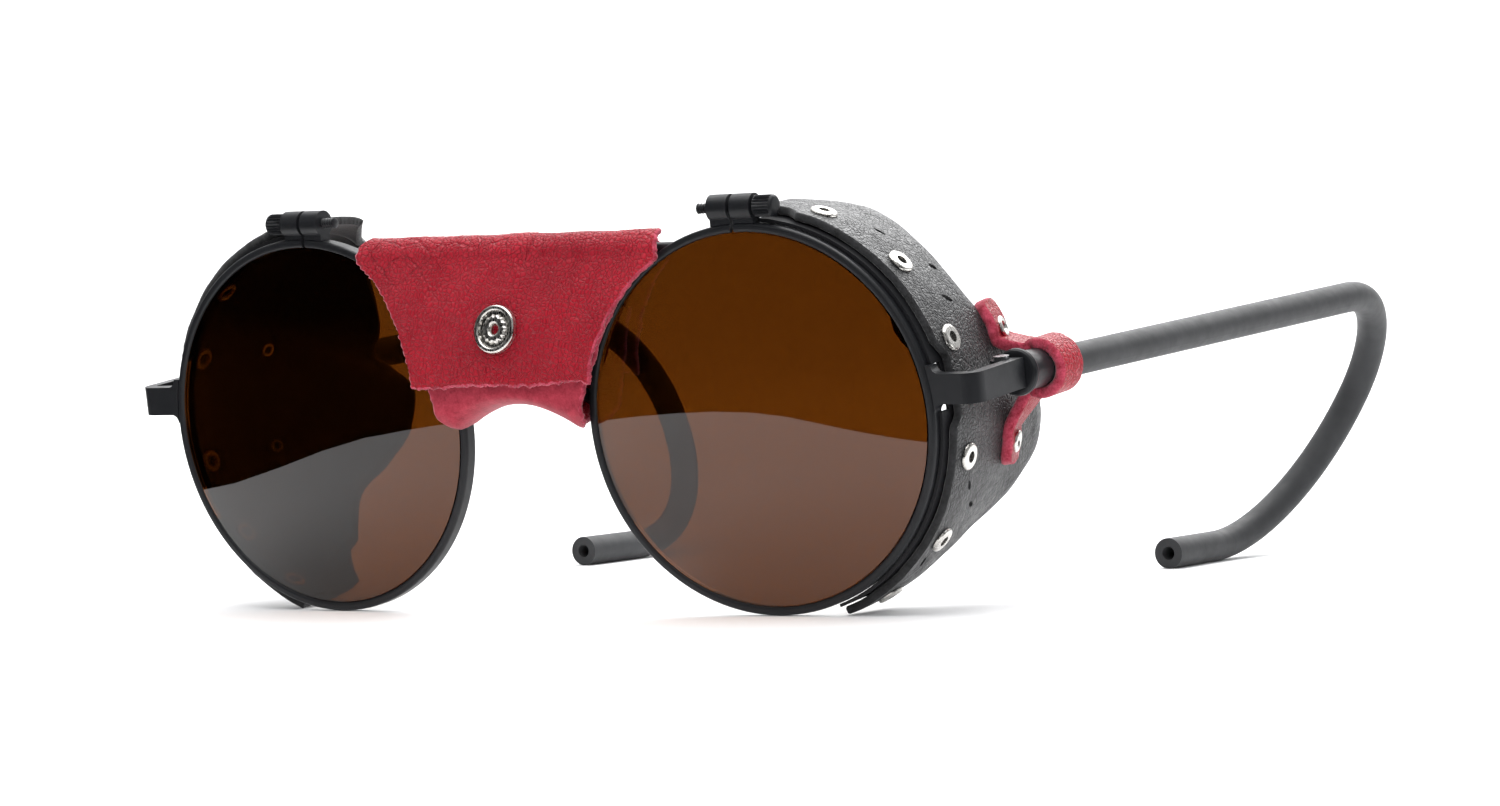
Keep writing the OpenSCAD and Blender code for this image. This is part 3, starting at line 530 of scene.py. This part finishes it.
def round_bar(radius, half, degrees):
    """Rows of (y, z, half width) round the top bridge bar."""
    turns = [math.radians(a) for a in degrees]
    return [(BAR_Y + radius * math.cos(a), BAR_Z + radius * math.sin(a), half) for a in turns]


def rows_to_grid(rows, cols):
    """Rows of (y, z, half width) to a grid of points across the nose."""
    across = np.linspace(-1, 1, cols)
    grid = np.empty((len(rows), cols, 3))
    grid[..., 0] = rows[:, 2:3] * across[None, :]
    grid[..., 1] = rows[:, 0:1]
    grid[..., 2] = rows[:, 1:2]
    return grid


def make_flap():
    rows = round_bar(FLAP_SLEEVE, FLAP_HALF, range(90, 166, 15))
    for i in range(0, 17):
        y, z = flap_line(i / 16)
        rows.append((y, z, min(FLAP_HALF, side_half(z))))
    rows = smooth_path(rows, 90)
    grid = rows_to_grid(rows, 150)
    u = grid[..., 0] / rows[:, 2:3]
    down = np.linspace(0, 1, len(rows))[:, None]
    corner = 1.3 * np.exp(-((down / 0.07) ** 2))
    side = side_half(rows[:, 1])[:, None]
    left = np.minimum(FLAP_LEFT - corner, side)
    right = np.minimum(FLAP_RIGHT - 0.5 * corner, side)
    grid[..., 0] = np.where(u < 0, u * left, u * right)
    grid[..., 2] += 0.25 * ripple(grid[..., :1] * np.array([1.0]), 23.0, 31) * down**3
    grid[..., 1] -= 0.35 * down**2 * np.cos(2.2 * u)
    # Lighter where it bends over the bar: wear with a painted highlight; lighter near the cut edges by wear.
    over_bar = np.exp(-(((grid[..., 2] - 24.6) / 1.5) ** 2))
    near_edge = np.exp(-((1 - np.abs(u)) / 0.05))
    wear_and_sheen = np.clip(0.5 * over_bar + 0.25 * near_edge + 0.1 * (1 + ripple(grid, 7.0, 33)), 0, 1)
    ob = leather_sheet("nose_leather_flap_detail", grid, NOSE_T, [RED, RED_BACK, RED_EDGE], 41, wear_and_sheen,
        rag=0.15, round_by=0.2, relief=0.09)
    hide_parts("nose_leather_flap")
    start = to_scene(np.array([0, BAR_Y + 1.0, BAR_Z + 3.0]))
    end = to_scene(np.array([0, BAR_Y - 2.0, BAR_Z + 1.0]))
    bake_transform(ob)


def make_nose_back():
    top_half, rear, arch_y, arch_z, arch_h, fold_half, flare = 21.5, 2.7, -1.25, 3.4, 1.8, 9.4, 2.6
    rows = round_bar(BACK_SLEEVE, top_half, range(150, -1, -30))
    rows += [(rear, z, LENS_X - math.sqrt(LENS_R**2 - z**2) - 1.2) for z in (17.0, 12.0, 8.0)]
    for a in (math.radians(d) for d in range(0, -181, -30)):
        y, z = arch_y + (rear - arch_y) * math.cos(a), arch_z + arch_h + arch_h * math.sin(a)
        rows.append((y, z, fold_half + flare * max(0, -math.cos(a))))
    for t in (0.8, 0.62, 0.38):
        y, z = flap_line(t, -LAYER_GAP)
        rows.append((y, z, side_half(z) - 0.8))
    grid = rows_to_grid(smooth_path(rows, 150), 90)
    low = np.clip((7.5 - grid[..., 2]) / 5.0, 0, 1)
    low = low * low * (3 - 2 * low)
    grid[..., 2] -= 3.4 * np.minimum(np.abs(grid[..., 0]) / fold_half, 1.05) ** 2 * low
    grid[..., 1] -= 0.3 * low * ripple(grid[..., :1], 13.0, 51)
    wear_and_sheen = np.clip(0.15 + 0.15 * ripple(grid, 8.0, 52), 0, 1)
    ob = leather_sheet("nose_leather_back_detail", grid, NOSE_T, [RED, RED_BACK, RED_EDGE], 57, wear_and_sheen,
        rag=0.1, round_by=0.2, relief=0.05)
    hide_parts("nose_leather_back")
    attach(ob, "front")


# ---------------------------------------------------------------- temple loops
LOOP_Y, LOOP_W, LOOP_T = 19.5, 5.0, 1.5
LOOP_MID = LOOP_Y + LOOP_W / 2
TEMPLE_SPREAD, TEMPLE_DROOP = math.radians(1.2), math.radians(3)
TUBE_AT_LOOP = (TEMPLE_X + (LOOP_MID - TEMPLE_Y) * math.sin(TEMPLE_SPREAD),
    END_Z - (LOOP_MID - TEMPLE_Y) * math.sin(TEMPLE_DROOP))
LOOP_R = 3.2
LOOP_AXIS = LENS_X - LOOP_MID * math.sin(WRAP)
TAB_DEPTH = LOOP_Y - SHIELD_R * math.sin(WRAP)
TAB_GAP, TAB_LEAN, TAB_FORWARD = 0.3, 0.3, 1.2
RIVETS = (("upper", 17.5), ("lower", -14))


def tab_radius(angle):
    """Radius about the lens axis of the strap's tabs, which lie on the leather under its front edge."""
    deep = float(np.interp(angle, SHIELD_DEPTH[:, 0], SHIELD_DEPTH[:, 1]))
    reach = float(np.interp(angle, CURL_IN[:, 0], CURL_IN[:, 1]))
    curl = max(0.0, (TAB_DEPTH - deep) / CURL_DEPTH)
    leather = float(shield_wall(min(TAB_DEPTH, deep))) - reach * (1 - math.sqrt(1 - curl**2))
    return leather + SHIELD_T / 2 + TAB_GAP + LOOP_T / 2


def make_loop(side_name, side):
    def tab(a):
        r = tab_radius(a)
        return (LOOP_AXIS + r * math.cos(math.radians(a)), r * math.sin(math.radians(a)))

    def round_tube(a):
        return (TUBE_AT_LOOP[0] + LOOP_R * math.cos(a), TUBE_AT_LOOP[1] + LOOP_R * math.sin(a))

    line = [tab(a) for a in (26, 22, 18, 14)]
    line += [round_tube(math.radians(a)) for a in np.linspace(125, -125, 19)]
    line += [tab(a) for a in (-9, -13, -17, -20)]
    line = smooth_path(line, 150)
    along = np.concatenate([[0], np.cumsum(np.linalg.norm(np.diff(line, axis=0), axis=1))])
    to_end = np.minimum(along, along[-1] - along)
    half = LOOP_W / 2 * np.sqrt(1 - np.clip(1 - (to_end + 0.35) / 2.2, 0, 0.97) ** 2)
    across = np.linspace(-1, 1, 18)
    grid = np.empty((len(line), len(across), 3))
    grid[..., 0] = side * line[:, 0:1]
    grid[..., 2] = line[:, 1:2]
    grid[..., 1] = LOOP_MID + half[:, None] * across[None, :]
    on_tab = np.clip(1 - (to_end - 5.0) / 5.0, 0, 1)[:, None]
    behind = half[:, None] * (across[None, :] + 1)
    grid[..., 0] -= side * TAB_LEAN * on_tab * behind
    grid[..., 1] -= TAB_FORWARD * on_tab
    # Lighter round the apex over the tube: wear with a painted highlight.
    bend = np.exp(-(((line[:, 0] - 69) / 2.5) ** 2))[:, None] * np.ones_like(grid[..., 0])
    wear_and_sheen = np.clip(0.25 + 0.6 * bend + 0.15 * ripple(grid, 5.0, 62), 0, 1)
    ob = leather_sheet("temple_loop_" + side_name + "_detail", grid, LOOP_T,
        [RED, RED_BACK, RED_EDGE], 67, wear_and_sheen, rag=0.09, round_by=0.2, flip=side < 0)
    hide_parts("temple_loop_" + side_name)
    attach(ob, "temple_" + side_name)


def make_loop_rivets(side_name, side):
    """The tubular rivets, square to the leaning tabs."""
    for where, angle in RIVETS:
        a = math.radians(angle)
        r = tab_radius(angle) - LOOP_T / 2
        out = unit(np.array([side * math.cos(a), TAB_LEAN, math.sin(a)]))
        round_rim = np.array([-side * math.sin(a), 0, math.cos(a)])
        back = np.cross(out, round_rim)
        centre = np.array([side * (LOOP_AXIS + r * math.cos(a)), LOOP_MID - TAB_FORWARD, r * math.sin(a)])

        def placed(pts):
            return centre + pts[:, 0:1] * round_rim + pts[:, 1:2] * back + pts[:, 2:3] * out

        lip = [(0.8 + 0.3 * math.sin(t), 1.1 + 0.38 * math.cos(t)) for t in np.linspace(-0.2, math.pi, 10)]
        rows = [(-1.9, 0.6), (-1.9, 0.9), (0.7, 0.9), *lip, (0.7, 0.62)]
        name = "loop_rivet_%s_%s" % (where, side_name)
        ob = lathe(name + "_detail", rows, placed, [BRIGHT], 40, ring=True)
        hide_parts(name)
        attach(ob, "temple_" + side_name)


# ---------------------------------------------------------------- small metal
def lathe(name, profile, placed, materials, turns, wobble=None, ring=False):
    """A turned piece, closed by discs or into a ring, from rows of (height, radius) in mm.

    placed takes its own points to the upright front.
    """
    p = np.asarray(profile, float)
    a = np.linspace(0, 2 * math.pi, turns, endpoint=False)
    h = np.repeat(p[:, 0][:, None], turns, 1)
    r = np.repeat(p[:, 1][:, None], turns, 1)
    if wobble is not None:
        r = r + wobble(h, r, a[None, :])
    pts = np.stack([r * np.cos(a), r * np.sin(a), h], -1).reshape(-1, 3)
    n = len(p)
    faces = []
    for i in range(n if ring else n - 1):
        j = (i + 1) % n
        for k in range(turns):
            nxt = (k + 1) % turns
            faces.append([i * turns + k, i * turns + nxt, j * turns + nxt, j * turns + k])
    if not ring:
        faces.append([k for k in range(turns)][::-1])
        faces.append([(n - 1) * turns + k for k in range(turns)])
    return add_mesh(name, to_scene(placed(pts)), faces, materials, angle=TURNED_ANGLE)


def make_clamp_screw(side_name, side):
    """The rim clamp's screw: a threaded tail and a ridged, domed thumb head."""
    start, lug, gap, tail, head_r, head_len, core = -1.0, 3.2, 0.1, 2.0, 1.45, 3.0, 0.7

    def placed(pts):
        local = np.stack([start + pts[:, 2], RIM_MID + pts[:, 0], RIM_OUT + 2 + pts[:, 1]], -1)
        return from_lens(local, side)

    def threads(h, r, a):
        wave = np.abs(((h / 0.42 - side * a / (2 * math.pi)) % 1) * 2 - 1)
        in_tail = (h < -lug) & (h > -lug - tail + 0.05)
        ridges = (h > lug + gap + 0.25) & (h < lug + gap + head_len - 0.35) & (r > 1.0)
        return np.where(in_tail, -0.2 * wave, 0) + np.where(ridges, -0.09 * (1 + np.cos(22 * a)), 0)

    tail_rows = [(h, core) for h in np.linspace(-lug - tail, -lug, 44)]
    head = lug + gap
    corner, top = 0.5, head + head_len
    dome = [(top - corner + corner * math.sin(t), head_r - corner + corner * math.cos(t))
        for t in np.linspace(0, math.pi / 2, 6)]
    dome += [(top + 0.02, 0.5), (top + 0.02, 0.02)]
    rows = [(-lug - tail - 0.12, 0.02), (-lug - tail - 0.12, 0.5), *tail_rows]
    rows += [(head, core), (head, head_r - 0.2)]
    rows += [(head + up, head_r) for up in (0.2, 0.3, 1.2, 2.2)] + dome
    ob = lathe("clamp_screw_" + side_name + "_detail", rows, placed, [BLACK], 88, threads)
    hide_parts("clamp_screw_" + side_name)
    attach(ob, "clamp_screw_" + side_name)


def make_eyelet_backs(side_name, side):
    """The rolled inner ends of the eyelets, seen through the lens."""
    back, depth = np.array([0, 1, 0]), np.array([0, 6, 0])
    turn = np.linspace(0, 2 * math.pi, 14, endpoint=False)
    for i, angle in enumerate(EYELETS, 1):
        a = math.radians(angle)

        def placed(pts):
            out = np.array([math.cos(a), 0, math.sin(a)])
            round_rim = np.array([-math.sin(a), 0, math.cos(a)])
            local = pts[:, 2:3] * out + pts[:, 0:1] * round_rim + pts[:, 1:2] * back + depth
            return from_lens(local, side)

        rows = [(25.6 + 0.3 * math.sin(t), 1.2 + 0.36 * math.cos(t)) for t in turn]
        ob = lathe("eyelet_back_%s_%d" % (side_name, i), rows, placed, [BACKS], 32, ring=True)
        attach(ob, "front")


def make_lens(side_name, side):
    """The lens as one smooth turned piece: two spheres and the ridge that sits in the rim's groove."""
    apex, front_r, rear_r, clear, ridge = -2.129, 130.0, 128.2, 24.42, 24.89
    radii = np.concatenate([[0.02], np.linspace(0.8, clear, 30)])
    front = [(apex + front_r - math.sqrt(front_r**2 - r * r), r) for r in radii]
    rear = [(apex + front_r - math.sqrt(rear_r**2 - r * r), r) for r in radii[::-1]]
    rows = front + [(0.6, clear), (RIM_MID, ridge), (1.6, clear)] + rear

    def placed(pts):
        return from_lens(np.stack([side * pts[:, 0], pts[:, 2], -pts[:, 1]], -1), side)

    ob = lathe("lens_" + side_name + "_detail", rows, placed, [GLASS], 128)
    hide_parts("lens_" + side_name)
    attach(ob, "front")


def make_snap_cap():
    """The snap's cap: a rolled rim, a fluted disc and a hollow middle."""
    y = FLAP_BOTTOM[0] + (SNAP_Z - FLAP_BOTTOM[1]) * math.tan(FLAP_SLOPE) + FLAP_BULGE[0]
    c, s = math.cos(FLAP_SLOPE), math.sin(FLAP_SLOPE)
    across, up, out = np.array([1, 0, 0]), np.array([0, s, c]), np.array([0, -c, s])

    def placed(pts):
        return pts[:, 0:1] * across + pts[:, 1:2] * up + pts[:, 2:3] * out + np.array([0, y, SNAP_Z])

    def flutes(h, r, a):
        return np.where((r > 1.2) & (r < 2.1) & (h > 0.75), 0.1 * np.cos(14 * a), 0)

    rim = [(0.95 + 0.36 * math.sin(t), 2.85 + 0.4 * math.cos(t)) for t in np.linspace(-0.3, math.pi, 12)]
    rows = [(-0.35, 0.54), (-0.35, 0.9), (0.45, 0.9), (0.45, 3.1), (0.6, 3.3), *rim, (0.8, 2.35),
        (0.78, 2.05), (0.9, 1.95), (1.2, 1.75), (1.32, 1.5),
        (1.34, 1.1), (1.22, 0.85), (1.0, 0.7), (0.6, 0.56)]
    ob = lathe("snap_cap_detail", rows, placed, [BRIGHT], 112, flutes, ring=True)
    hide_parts("snap_cap")
    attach(ob, "nose_flap")


# ---------------------------------------------------------------- studio
def make_stage():
    """A pale floor that curves up into a wall behind."""
    foot, r = 0.9, 0.5
    profile = [(-3.0, 0.0), (-1.0, 0.0), (0.2, 0.0), (foot, 0.0)]
    profile += [(foot + r * math.sin(t), r - r * math.cos(t)) for t in np.linspace(0.1, math.pi / 2, 14)]
    profile += [(foot + r, 1.4), (foot + r, 3.0)]
    turn = math.radians(33.3)
    c, s = math.cos(turn), math.sin(turn)
    verts, faces = [], []
    for away, z in profile:
        for across in (-4.0, -1.3, 0.0, 1.3, 4.0):
            verts.append((across * c - away * s, across * s + away * c, z))
    for i in range(len(profile) - 1):
        for k in range(4):
            faces.append([5 * i + k, 5 * i + k + 1, 5 * i + k + 6, 5 * i + k + 5])
    floor = add_mesh("floor", verts, faces, [pale_floor("floor")])


def make_dark_card():
    """A plain dark card that curves round the front, seen only in reflections, to darken the lenses."""
    height, widen = 0.2, 1.25
    bends = [(-0.4, 0.05), (-0.17, -0.045), (-0.11, -0.08), (-0.08, -0.135), (-0.02, -0.16), (0.05, -0.125),
        (0.2, -0.03)]
    foot = smooth_path(bends, 40)
    verts = [(x, y, 0.0) for x, y in foot] + [(x * widen, y * widen, height) for x, y in foot]
    n = len(foot)
    faces = [[i, i + 1, n + i + 1, n + i] for i in range(n - 1)]
    m, nt, b = new_material("card")
    b.inputs["Base Color"].default_value = (0.001, 0.001, 0.001, 1)
    b.inputs["Roughness"].default_value = 1.0
    b.inputs["Specular IOR Level"].default_value = 0.0
    card = add_mesh("card", verts, faces, [m])
    card.visible_camera = card.visible_diffuse = card.visible_shadow = False
    card.visible_transmission = card.visible_volume_scatter = False


def area_light(name, where, aim, size, power):
    data = bpy.data.lights.new(name, "AREA")
    data.shape, data.size, data.size_y = "RECTANGLE", size[0], size[1]
    data.energy = power
    ob = bpy.data.objects.new(name, data)
    bpy.context.collection.objects.link(ob)
    ob.location = where
    ob.rotation_mode = "QUATERNION"
    ob.rotation_quaternion = (Vector(where) - Vector(aim)).to_track_quat("Z", "Y")


def make_lights():
    area_light("overhead", (0.05, -0.05, 0.75), (0, -0.02, 0), (1.0, 0.8), 7.0)
    area_light("front_fill", (0.75, -0.75, 0.55), (0, 0, 0.02), (0.6, 0.5), 3.6)
    area_light("side_fill", (-0.8, -0.3, 0.5), (0, 0, 0.02), (0.5, 0.5), 2.0)
    area_light("wall_light", (-0.3, 0.55, 1.1), (-0.6, 1.1, 0.2), (1.2, 0.6), 16.0)
    area_light("back_strip", (0.02, 0.75, 0.56), (0.05, 0, 0.02), (0.9, 0.35), 4.5)
    world = bpy.data.worlds.new("studio")
    bpy.context.scene.world = world
    world.use_nodes = True
    back = world.node_tree.nodes["Background"]
    back.inputs[0].default_value = (0.95, 0.97, 1.0, 1)
    back.inputs[1].default_value = 0.45


# ---------------------------------------------------------------- CAD materials
def paint_nodes():
    rules = (("rim_", BLACK), ("lens_", GLASS), ("end_piece_", BLACK), ("clamp_", BLACK),
        ("hinge_screw_", STEEL), ("shield_strip_", TRIM), ("shield_eyelet_", BRIGHT), ("loop_rivet_", BRIGHT),
        ("temple_hinge_", BLACK), ("temple_core_", STEEL), ("temple_tube_", RUBBER), ("bridge_", BLACK),
        ("snap_", BRIGHT), ("shield_leather_", SHIELD), ("temple_loop_", RED), ("nose_leather_", RED))
    for name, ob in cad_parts.items():
        look = next(m for start, m in rules if name.startswith(start))
        if not ob.data.materials:
            ob.data.materials.append(look)
        for slot in ob.material_slots:
            slot.material = look


make_camera()
make_stage()
make_dark_card()
make_lights()
paint_nodes()
for side_name, side in SIDES.items():
    make_shield(side_name, side)
    make_loop(side_name, side)
    make_loop_rivets(side_name, side)
    make_lens(side_name, side)
    make_clamp_screw(side_name, side)
    make_eyelet_backs(side_name, side)
make_flap()
make_nose_back()
make_snap_cap()
bpy.context.scene.view_settings.view_transform = "Standard"
